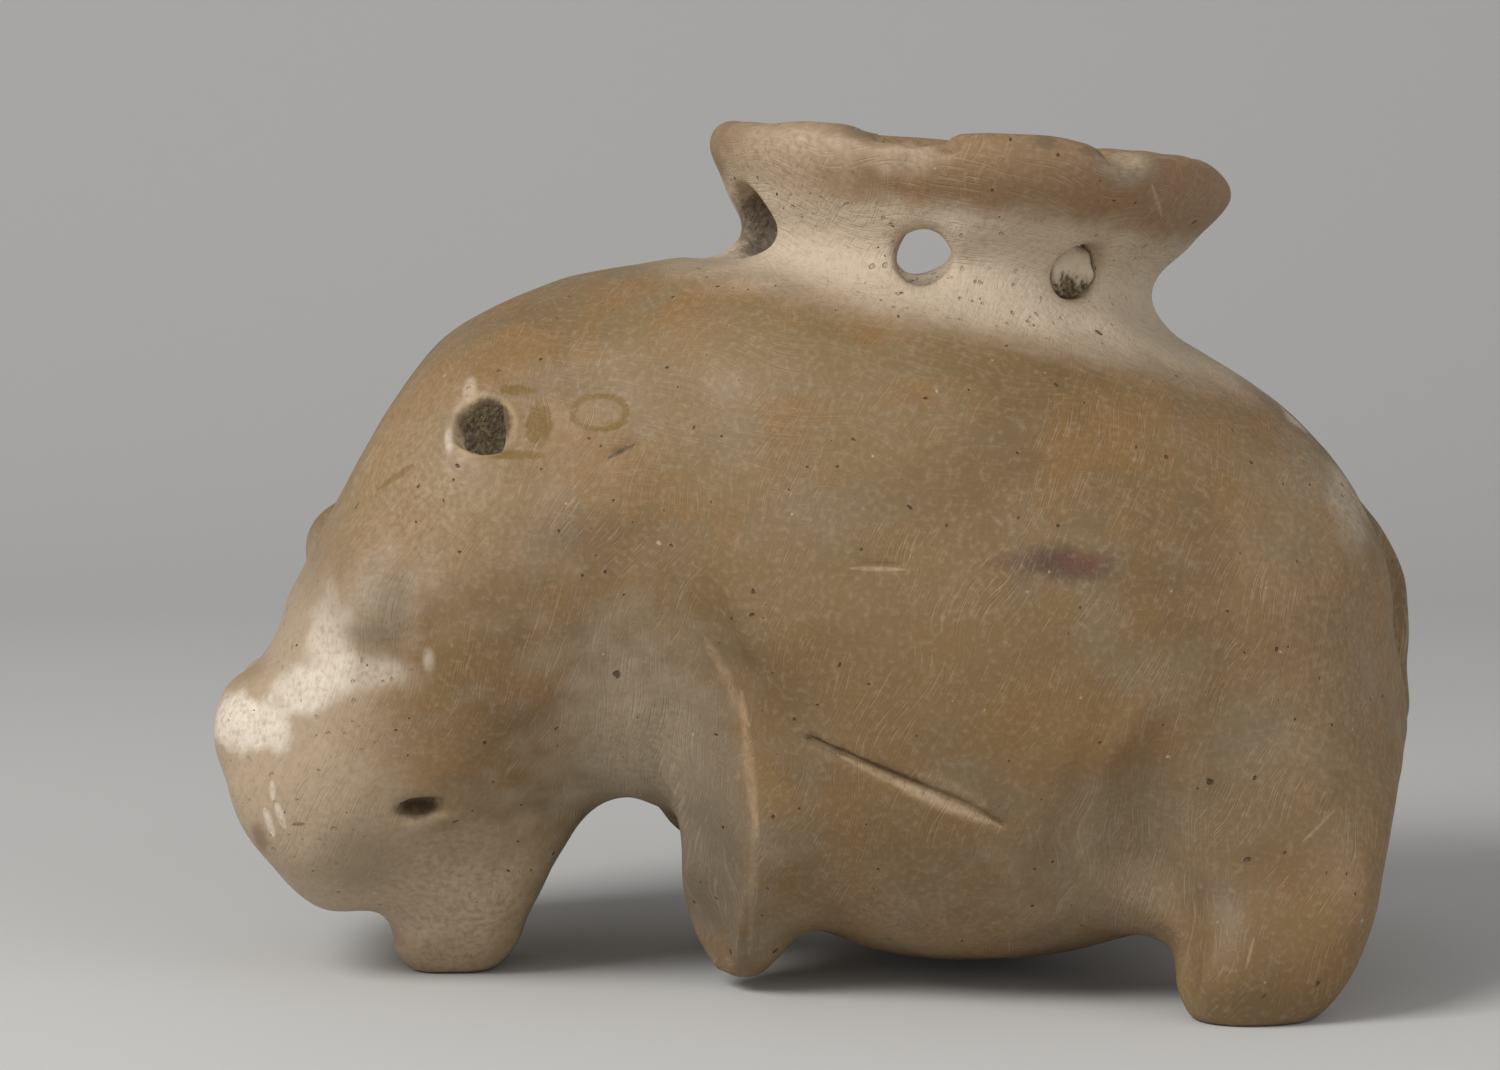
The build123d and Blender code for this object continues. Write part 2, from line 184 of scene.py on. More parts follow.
# Chips and scars: middle and half sizes of each bite
CHIPS = {
    "rim edge": ((7.3, -24, 87), (6.6, 9, 5.2)),
    "rim edge, tail end": ((10.6, -24, 83.9), (2.6, 9, 2.5)),
    "rim face": ((8, -28.4, 79.6), (4.4, 4, 3.6)),
    "rim edge, far back": ((30, -21.8, 82.6), (4.5, 3.6, 2.4)),
    "rump": ((48.6, -3.5, 56.4), (2.6, 3.5, 2)),
    "left eye socket": ((-31.9, -21.4, 55.5), (2.9, 2.6, 2.6)),
    "right eye socket": ((-31.9, 21.4, 55.5), (2.9, 2.6, 2.6)),
}

# Cuts in the left flank: X and Z along each, then width and depth
GROOVES = {
    "slash": (
        [(-1, 27), (4.6, 24.5), (10.2, 22), (13.5, 20.5), (16.7, 18.9)],
        (0.3, 0.8, 1.4, 1.5, 0.2), 0.75),
    "tick": ([(4, 43.5), (5.6, 43.2), (7.2, 43.4)], (0.2, 0.8, 0.2), 0.4),
    "nick": ([(-19.8, 52.6), (-18.6, 53.3), (-17.4, 54)], (0.3, 0.8, 0.3), 0.5),
}

# Crumbly fillings: seed, roughness, and the middle and half sizes of a bite
FILLINGS = {
    "left_eye_bedding": (0, 0.25, (-31.2, -23.8, 56.0), (5.6, 4.4, 5.6)),
    "right_eye_bedding": (1, 0.25, (-31.2, 23.8, 56.0), (5.6, 4.4, 5.6)),
    "hole_plug": (7, 0.15, (25.3, -20.4, 67.2), (1.9, 2.4, 1.7)),
}
FILLING_STEP = 0.2
FILLING_WEAR = 0.3
CRUMB_SIZE = 0.45

# How near to the skin a point counts as on it, in grid steps
SKIN_TOLERANCE = 0.3


def soft_min(first, second, softness):
    """The smaller of two distances, with the corner between them rounded off."""
    share = np.clip(0.5 + 0.5 * (second - first) / softness, 0, 1)
    return second + (first - second) * share - softness * share * (1 - share)


def soft_max(first, second, softness):
    """The larger of two distances, with the corner between them rounded off."""
    return -soft_min(-first, -second, softness)


def ramp(values, low, high):
    """Smooth rise from 0 at low to 1 at high, or a fall where low is the larger."""
    share = np.clip((values - low) / (high - low), 0, 1)
    return share * share * (3 - 2 * share)


def mirrored(points):
    """The same points on the vessel's other side."""
    return [(x, -y, z) for x, y, z in points]


def away(grid, middle):
    """Distance of grid points from a place."""
    x, y, z = [line - value for line, value in zip(grid, middle)]
    return np.sqrt(x ** 2 + y ** 2 + z ** 2)


class Clay:
    """Clay as distances from its skin, negative inside, on a grid of points in millimetres."""

    # Room around the box, and how far from the skin distances are kept
    MARGIN = 5.0
    BAND = 14.0
    KNOWN = 0.99 * BAND
    # How far beyond its own size each tool is worked out
    BALL_SPARE, ROUTE_SPARE, BOWL_SPARE = 8, 10, 4

    def __init__(self, box, step):
        self.step = step
        self.low = np.array(box[0]) / MM - self.MARGIN
        size = np.array(box[1]) / MM + self.MARGIN - self.low
        self.shape = tuple(int(math.ceil(length / step)) + 1 for length in size)
        lines = [self.low[axis] + step * np.arange(self.shape[axis]) for axis in range(3)]
        self.x, self.y, self.z = np.meshgrid(*lines, indexing="ij", sparse=True)
        self.distance = None

    def distances(self, points, triangles):
        """Signed distance from every grid point to a closed mesh."""
        grid = openvdb.FloatGrid.createLevelSetFromPolygons(
            (points - self.low).astype(np.float32), triangles=triangles.astype(np.uint32),
            transform=openvdb.createLinearTransform(voxelSize=self.step), halfWidth=self.BAND / self.step)
        values = np.empty(self.shape, dtype=np.float32)
        grid.copyToArray(values)
        return values

    def surface(self, values, level=0.0):
        """Points and quads of the skin at a level of a distance field."""
        grid = openvdb.FloatGrid(self.BAND)
        grid.copyFromArray(values)
        grid.transform = openvdb.createLinearTransform(voxelSize=self.step)
        points, quads = grid.convertToQuads(level)
        return points + self.low, quads

    def redistanced(self, values, level=0.15):
        """True distances to the skin of a field that was put together from several."""
        points, quads = self.surface(values, level)
        triangles = np.concatenate([quads[:, [0, 1, 2]], quads[:, [0, 2, 3]]])
        return self.distances(points, triangles) + level

    def blurred(self, values, radius):
        """A field averaged over a soft ball."""
        pad = int(3 * radius / self.step)
        wide = np.pad(values, pad, mode="edge")
        spectrum = np.fft.rfftn(wide)
        for axis, length in enumerate(wide.shape):
            rate = np.fft.rfftfreq(length) if axis == 2 else np.fft.fftfreq(length)
            fall = np.exp(-2 * (math.pi * rate * radius / self.step) ** 2)
            spectrum *= fall.reshape([-1 if other == axis else 1 for other in range(3)])
        wide = np.fft.irfftn(spectrum, wide.shape)
        return wide[pad:-pad, pad:-pad, pad:-pad].astype(np.float32)

    def waves(self, seed, radius, height):
        """Smooth random rises and falls of a given size across and mean height."""
        rough = np.random.default_rng(seed).standard_normal(self.shape).astype(np.float32)
        smooth = self.blurred(rough, radius)
        return smooth * (height / smooth.std())

    def sample(self, values, points):
        """Values of a field at loose points, between the grid points."""
        place = (np.asarray(points) - self.low) / self.step
        corner = np.clip(np.floor(place).astype(int), 0, np.array(self.shape) - 2)
        part = place - corner
        total = np.zeros(len(place))
        for i, j, k in np.ndindex(2, 2, 2):
            weight = np.prod(np.abs(np.array([1 - i, 1 - j, 1 - k]) - part), axis=1)
            total += weight * values[corner[:, 0] + i, corner[:, 1] + j, corner[:, 2] + k]
        return total

    def normals(self, points):
        """Directions straight out of the skin at points on it."""
        field = self.distance
        slopes = [self.sample(field, points + shift) - self.sample(field, points - shift)
                  for shift in self.step * np.eye(3)]
        slopes = np.stack(slopes, axis=1)
        return slopes / np.maximum(np.linalg.norm(slopes, axis=1, keepdims=True), 1e-9)

    def side_point(self, x, z, side):
        """Point of the skin where a crosswise line comes in from one side."""
        line = self.y.ravel()[::side * -1]
        column = self.sample(self.distance, [(x, y, z) for y in line])
        first = int(np.argmax(column < 0))
        share = column[first - 1] / (column[first - 1] - column[first])
        return (x, line[first - 1] + share * (line[first] - line[first - 1]), z)

    def window(self, points, reach):
        """Slices of the grid around some points, and the coordinates there."""
        points = np.asarray(points, dtype=float)
        start = np.floor((points.min(axis=0) - reach - self.low) / self.step).astype(int)
        stop = np.ceil((points.max(axis=0) + reach - self.low) / self.step).astype(int) + 1
        slices = tuple(slice(max(a, 0), min(b, n)) for a, b, n in zip(start, stop, self.shape))
        return slices, (self.x[slices[0]], self.y[:, slices[1]], self.z[:, :, slices[2]])

    def press_on(self, middle, radius, softness):
        """Add a ball of clay."""
        slices, grid = self.window([middle], radius + self.BALL_SPARE)
        self.distance[slices] = soft_min(self.distance[slices], away(grid, middle) - radius, softness)

    def swell(self, middle, reach, height):
        """Raise the skin around a place, less and less towards the reach."""
        slices, grid = self.window([middle], reach)
        self.distance[slices] -= height * ramp(away(grid, middle), reach, 0)

    def trim(self, flat, softness, spared=0.0):
        """Take away the clay beyond a flat, less where some is spared."""
        beyond = flat[0] * self.x + flat[1] * self.z - flat[2] - spared
        self.distance = soft_max(self.distance, beyond.astype(np.float32), softness)

    def groove(self, points, widths, depth):
        """Cut a groove of given widths along points on the left flank."""
        radii = [(width ** 2 / 4 + depth ** 2) / (2 * depth) for width in widths]
        middles = [(x, y - radius + depth, z) for (x, y, z), radius in zip(points, radii)]
        self.carve_route(middles, radii, SOFTNESS["groove"])

    def carve_route(self, points, radii, softness):
        """Take clay away along a route with a round tool. Softness rounds the edges of the cut."""
        points = np.asarray(points, dtype=float)
        radii = np.broadcast_to(radii, len(points))
        slices, (x, y, z) = self.window(points, max(radii) + self.ROUTE_SPARE)
        tool = np.full(np.broadcast_shapes(x.shape, y.shape, z.shape), np.inf)
        for a, b, start, stop in zip(points[:-1], points[1:], radii[:-1], radii[1:]):
            run = b - a
            share = ((x - a[0]) * run[0] + (y - a[1]) * run[1] + (z - a[2]) * run[2]) / (run @ run)
            share = np.clip(share, 0, 1)
            apart = np.sqrt((x - a[0] - share * run[0]) ** 2 + (y - a[1] - share * run[1]) ** 2
                            + (z - a[2] - share * run[2]) ** 2)
            tool = np.minimum(tool, apart - start - share * (stop - start))
        self.distance[slices] = soft_max(self.distance[slices], -tool, softness)

    def carve_bowl(self, middle, radii, softness, roughness=None):
        """Take an oval bite of clay away."""
        slices, (x, y, z) = self.window([middle], max(radii) + self.BOWL_SPARE)
        across = np.sqrt(((x - middle[0]) / radii[0]) ** 2 + ((y - middle[1]) / radii[1]) ** 2
                         + ((z - middle[2]) / radii[2]) ** 2)
        tool = (across - 1) * min(radii)
        if roughness is not None:
            tool = tool + roughness[slices]
        self.distance[slices] = soft_max(self.distance[slices], -tool, softness)


def read(items, attribute, width, kind=float):
    """Values of an attribute of all items of a mesh, so many in a row."""
    values = np.empty(len(items) * width, dtype=kind)
    items.foreach_get(attribute, values)
    return values.reshape(-1, width)


def node_mesh(name):
    """Points, in millimetres, and triangles of a solid of the frame."""
    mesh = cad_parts[name].data
    mesh.calc_loop_triangles()
    return read(mesh.vertices, "co", 3) / MM, read(mesh.loop_triangles, "vertices", 3, np.int32)


def plain_mesh(name, points, faces):
    """A mesh, in metres, from points in millimetres and faces that all have as many corners."""
    mesh = bpy.data.meshes.new(name)
    count, corners = faces.shape
    mesh.vertices.add(len(points))
    mesh.vertices.foreach_set("co", (points * MM).ravel())
    mesh.loops.add(count * corners)
    mesh.loops.foreach_set("vertex_index", faces.astype(np.int32).ravel())
    mesh.polygons.add(count)
    mesh.polygons.foreach_set("loop_start", np.arange(count, dtype=np.int32) * corners)
    mesh.update(calc_edges=True)
    mesh.validate()
    return mesh


def enclosed(clay_here):
    """Points of air with clay under them and on all four sides."""
    inside = ~clay_here & np.logical_or.accumulate(clay_here, axis=2)
    for axis in (0, 1):
        inside &= np.logical_or.accumulate(clay_here, axis=axis)
        inside &= np.flip(np.logical_or.accumulate(np.flip(clay_here, axis), axis=axis), axis)
    return inside


def lute(clay, members):
    """Join the members into one body, filled inside, and draw the clay across the joints.

    Gives the distances from the skin of the hollow that was filled.
    """
    shells = np.minimum(members["belly_shell"], members["back_shell"])
    cavity = enclosed(shells < 0)
    whole = np.minimum.reduce(list(members.values()))
    whole[cavity] = -clay.BAND
    clay.distance = clay.redistanced(whole)
    reaches = sorted({reach for others, reach in JOINTS.values()})
    softened = {reach: clay.blurred(clay.distance, reach) for reach in reaches}
    gone, full = JOINT_FADE
    for name, (others, reach) in JOINTS.items():
        other = np.minimum.reduce([members[other] for other in others])
        weight = ramp(np.hypot(members[name], other), gone * reach, full * reach) * ramp(clay.z, *SOLE_FADE)
        clay.distance += weight * (softened[reach] - clay.distance)
    return clay.redistanced(np.where(cavity, -shells, np.where(shells < 0, -shells, clay.BAND)), 0.0)


def hollow_out(clay, hollow):
    """Open the inside again, leaving a wall everywhere, and clear the way in through the neck."""
    hollow = np.maximum(hollow, clay.distance + THINNEST_WALL)
    clay.distance = soft_max(clay.distance, -hollow, SOFTNESS["hollow"])
    x, z = NECK_SEAT
    clay.carve_route([(x + along, 0, z + up) for along, up in THROAT_ENDS], THROAT_RADIUS, SOFTNESS["hollow"])


def sculpt(clay, form):
    """Scrape, press on, trim, wear and chip the joined clay."""
    for middle, radius, softness in PELLETS.values():
        clay.press_on(middle, radius, softness)
    for x, z, radius in CROSS_GOUGES.values():
        ends = [(x, side * GOUGE_HALF_LENGTH, z) for side in (LEFT, RIGHT)]
        clay.carve_route(ends, radius, SOFTNESS["gouge"])
    clay.distance = clay.blurred(clay.distance, form.worn_edges / MM)
    for seed, across, share in HAND_WAVES:
        clay.distance += clay.waves(seed, across, share * form.hand_waves / MM)
    for middle, reach, height in SWELLS.values():
        clay.swell(middle, reach, height)
    for middle, reach, height in PAIRED_SWELLS.values():
        clay.swell(middle, reach, height)
        clay.swell(*mirrored([middle]), reach, height)
    clay.trim(*RIM_REAR_TRIM)
    clay.trim(*HIND_LEG_REAR_TRIM, RUMP_SPARED * ramp(clay.z, *RUMP_HEIGHTS))
    clay.trim(*HEEL_TRIM)
    for route in (mirrored(LEG_HOLLOW), LEG_HOLLOW):
        clay.carve_route(route, LEG_HOLLOW_RADIUS, SOFTNESS["leg hollow"])
    clay.distance = soft_max(clay.distance, -clay.z.astype(np.float32), SOFTNESS["sole"])
    for ends, radius, softness in HOLES.values():
        clay.carve_route(ends, radius, softness)
    for route in (MOUTH_CORNER, mirrored(MOUTH_CORNER)):
        clay.carve_route(route, MOUTH_CORNER_RADII, SOFTNESS["mouth corner"])
    broken = clay.waves(*BREAK_WAVES)
    for middle, sizes in CHIPS.values():
        clay.carve_bowl(middle, sizes, SOFTNESS["chip"], broken)
    for places, widths, depth in GROOVES.values():
        clay.groove([clay.side_point(x, z, LEFT) for x, z in places], widths, depth)


def cut_mesh(whole, cutter, operation, name):
    """The part of one object inside or outside another, as a new mesh."""
    knife = whole.modifiers.new("knife", "BOOLEAN")
    knife.operation = operation
    knife.solver = "MANIFOLD"
    knife.object = cutter
    graph = bpy.context.evaluated_depsgraph_get()
    mesh = bpy.data.meshes.new_from_object(whole.evaluated_get(graph), depsgraph=graph)
    mesh.name = name
    whole.modifiers.remove(knife)
    return mesh


def smooth_skin(mesh, clay):
    """Give a cut piece the unbroken shading of the whole skin, and flat faces inside its joints."""
    points = read(mesh.vertices, "co", 3) / MM
    on_skin = np.abs(clay.sample(clay.distance, points)) < SKIN_TOLERANCE * clay.step
    normals = clay.normals(points)
    corners = read(mesh.loops, "vertex_index", 1, np.int32).ravel()
    starts = read(mesh.polygons, "loop_start", 1, np.int32).ravel()
    counts = np.diff(np.append(starts, len(corners)))
    flat = np.repeat(read(mesh.polygons, "normal", 3), counts, axis=0)
    is_skin = np.repeat(np.minimum.reduceat(on_skin[corners], starts), counts)
    shading = np.where(is_skin[:, None], normals[corners], flat)
    mesh.polygons.foreach_set("use_smooth", np.ones(len(mesh.polygons), dtype=bool))
    mesh.normals_split_custom_set(shading)


def cut_members(clay, members):
    """One closed mesh for each member, cut from the whole where the members meet."""
    scene = bpy.context.scene
    rest = bpy.data.objects.new("clay", plain_mesh("clay", *clay.surface(clay.distance)))
    scene.collection.objects.link(rest)
    meshes = {}
    for place, name in enumerate(CLAY_MEMBERS[:-1]):
        own = members[name]
        others = np.minimum.reduce([members[other] for other in CLAY_MEMBERS[place + 1:]])
        region = np.where(np.minimum(own, others) < clay.KNOWN, 0.5 * (own - others), clay.BAND)
        outside = np.ones(region.shape, dtype=bool)
        outside[1:-1, 1:-1, 1:-1] = False
        region[outside] = clay.BAND
        skin = clay.surface(region.astype(np.float32))
        cutter = bpy.data.objects.new("cutter", plain_mesh("cutter", *skin))
        scene.collection.objects.link(cutter)
        meshes[name] = cut_mesh(rest, cutter, "INTERSECT", name)
        rest.data = cut_mesh(rest, cutter, "DIFFERENCE", "clay")
        bpy.data.objects.remove(cutter)
    meshes[CLAY_MEMBERS[-1]] = rest.data
    bpy.data.objects.remove(rest)
    for mesh in meshes.values():
        smooth_skin(mesh, clay)
    return meshes


class Term:
    """A shader value that takes part in Python arithmetic. Each step adds a Math node."""

    def __init__(self, recipe, socket):
        self.recipe = recipe
        self.socket = socket

    def math(self, operation, *values, clamp=False):
        return self.recipe.add("ShaderNodeMath", {"operation": operation, "use_clamp": clamp},
                               dict(enumerate(values)))

    def __add__(self, other):
        return self.math("ADD", self, other)

    def __sub__(self, other):
        return self.math("SUBTRACT", self, other)

    def __rsub__(self, other):
        return self.math("SUBTRACT", other, self)

    def __mul__(self, other):
        return self.math("MULTIPLY", self, other)

    def __truediv__(self, other):
        return self.math("DIVIDE", self, other)

    def __neg__(self):
        return self.math("MULTIPLY", self, -1.0)

    def highest(self, other):
        return self.math("MAXIMUM", self, other)

    __radd__ = __add__
    __rmul__ = __mul__

    def rise(self, low, high):
        """Smooth rise from 0 where the value is low to 1 where it is high."""
        return self.recipe.add("ShaderNodeMapRange", {"interpolation_type": "SMOOTHSTEP"},
                               {"Value": self, "From Min": low, "From Max": high})

    def fall(self, low, high):
        """Smooth fall from 1 where the value is low to 0 where it is high."""
        return 1 - self.rise(low, high)

    def size(self):
        return self.math("ABSOLUTE", self)

    def root(self):
        return self.math("SQRT", self)

    def clamped(self):
        return self.math("ADD", self, 0.0, clamp=True)


class Recipe:
    """A material put together from expressions. Places are in millimetres on the vessel."""

    SEED_SHIFT = (31.7, 17.3, 53.1)
    CRUMPLE_SIZE, CRUMPLE = 1 / 1.1, 0.8
    SWAY_SEED, SWAY_SIZE, SWAY = 20, 14, 7.0
    # Smallest dot as a share of the largest, and where the edges of dots and streaks fade
    SMALLEST_DOT = 0.35
    DOT_EDGE = (0.55, 1.0)
    STREAK_EDGE = (0.2, 1.2)
    STREAK_TIP = 0.02
    LEFT_SIDE = (-6, -3)
    SHEEN = 0.3

    def __init__(self, name):
        self.material = bpy.data.materials.new(name)
        self.material.use_nodes = True
        self.tree = self.material.node_tree
        self.tree.nodes.clear()
        object_place = self.add("ShaderNodeTexCoord", output="Object")
        self.colour = None
        self.place = self.scaled(object_place, 1 / MM)
        self.x, self.y, self.z = self.split(self.place)
        self.crumpled = self.stirred(self.place, self.CRUMPLE_SIZE, self.CRUMPLE)

    def add(self, kind, settings=None, sockets=None, output=0):
        """A new node with its settings, then the values or links of its sockets. Gives one of its outputs."""
        node = self.tree.nodes.new(kind)
        for name, value in (settings or {}).items():
            setattr(node, name, value)
        for name, value in (sockets or {}).items():
            if isinstance(value, Term):
                self.tree.links.new(value.socket, node.inputs[name])
            else:
                node.inputs[name].default_value = value
        return Term(self, node.outputs[output]) if node.outputs else None

    def vector(self, operation, first, second):
        return self.add("ShaderNodeVectorMath", {"operation": operation}, {0: first, 1: second})

    def scaled(self, vector, factor):
        return self.add("ShaderNodeVectorMath", {"operation": "SCALE"}, {0: vector, "Scale": factor})

    def split(self, vector):
        first = self.add("ShaderNodeSeparateXYZ", None, {0: vector})
        outputs = first.socket.node.outputs
        return first, Term(self, outputs[1]), Term(self, outputs[2])

    def blend(self, share, first, second):
        """A colour between two others."""
        first, second = [value if isinstance(value, Term) else (*value, 1.0) for value in (first, second)]
        return self.add("ShaderNodeMix", {"data_type": "RGBA"}, {0: share, 6: first, 7: second}, 2)

    def coat(self, share, colour):
        """Lay another colour over the coats so far, thickest where the share is 1."""
        self.colour = self.blend(share, self.colour, colour)

    def shifted(self, place, seed):
        return self.vector("ADD", place, [shift * seed for shift in self.SEED_SHIFT])

    def stirred(self, where, size, amount):
        """Places moved about at random by up to about half an amount, in swirls of about a size."""
        swirl = self.vector("SUBTRACT", self.noise(where, 1 / size, 1.0, "Color"), (0.5, 0.5, 0.5))
        return self.vector("ADD", self.place, self.scaled(swirl, amount))

    def noise(self, where, scale, detail, output=0):
        sockets = {"Vector": where, "Scale": scale, "Detail": detail}
        return self.add("ShaderNodeTexNoise", None, sockets, output)

    def clouds(self, size, detail, seed):
        """Soft random patches of about a size, from 0 to 1."""
        return self.noise(self.shifted(self.place, seed), 1 / size, detail)

    def dots(self, spacing, largest, chance, seed):
        """Crumpled spots of random size, on a share of random places, with soft edges."""
        distance = self.add("ShaderNodeTexVoronoi", None,
                            {"Vector": self.shifted(self.crumpled, seed), "Scale": 1 / spacing})
        draw = Term(self, distance.socket.node.outputs["Color"])
        size, luck, _ = self.split(draw)
        edge = (self.SMALLEST_DOT + (1 - self.SMALLEST_DOT) * size) * (largest / spacing)
        return (distance / edge).fall(*self.DOT_EDGE) * luck.fall(chance - 0.01, chance + 0.01)

    def strokes(self, turn, length, width, seed):
        """Fine, slightly curved marks drawn at an angle over the flanks, from 0 to 1."""
        swayed = self.stirred(self.shifted(self.place, seed + self.SWAY_SEED), self.SWAY_SIZE, self.SWAY)
        turned = self.add("ShaderNodeVectorRotate", {"rotation_type": "Y_AXIS"},
                          {"Vector": swayed, "Angle": math.radians(turn)})
        return self.noise(self.vector("MULTIPLY", turned, (1 / length, 1 / length, 1 / width)), 1.0, 1.0)

    def reach(self, where, middle, radii):
        """Distance from the middle of an oval, 1 on its edge."""
        apart = self.vector("DIVIDE", self.vector("SUBTRACT", where, middle), radii)
        return self.add("ShaderNodeVectorMath", {"operation": "LENGTH"}, {0: apart}, "Value")

    def spot(self, middle, radii, ragged, edge, where=None):
        """A ragged oval patch around a place, from 1 inside to 0 outside."""
        return (self.reach(where or self.place, middle, radii) + ragged).fall(1 - edge, 1 + edge)

    def streak(self, start, end, width, ragged):
        """A thin ragged mark on the left side between two places in X and Z."""
        run = (end[0] - start[0], end[1] - start[1])
        x, z = self.x - start[0], self.z - start[1]
        share = ((x * run[0] + z * run[1]) / (run[0] ** 2 + run[1] ** 2)).clamped()
        x, z = x - share * run[0], z - share * run[1]
        taper = (share * (1 - share) * 4).root() * width + self.STREAK_TIP
        mark = ((x * x + z * z).root() / taper + ragged).fall(*self.STREAK_EDGE)
        return mark * self.y.fall(*self.LEFT_SIDE)

    def finish(self, colour, roughness, height):
        """The material, with its bumps given as a height in millimetres."""
        bump = self.add("ShaderNodeBump", None, {"Height": height, "Distance": MM, "Strength": 1.0})
        shader = self.add("ShaderNodeBsdfPrincipled", None, {
            "Base Color": colour, "Roughness": roughness, "Specular IOR Level": self.SHEEN, "Normal": bump})
        self.add("ShaderNodeOutputMaterial", None, {"Surface": shader})
        return self.material


def paint(red, green, blue):
    """A colour from the 0 to 255 values that a screen shows."""
    shares = [value / 255 for value in (red, green, blue)]
    return [share / 12.92 if share <= 0.04045 else ((share + 0.055) / 1.055) ** 2.4 for share in shares]


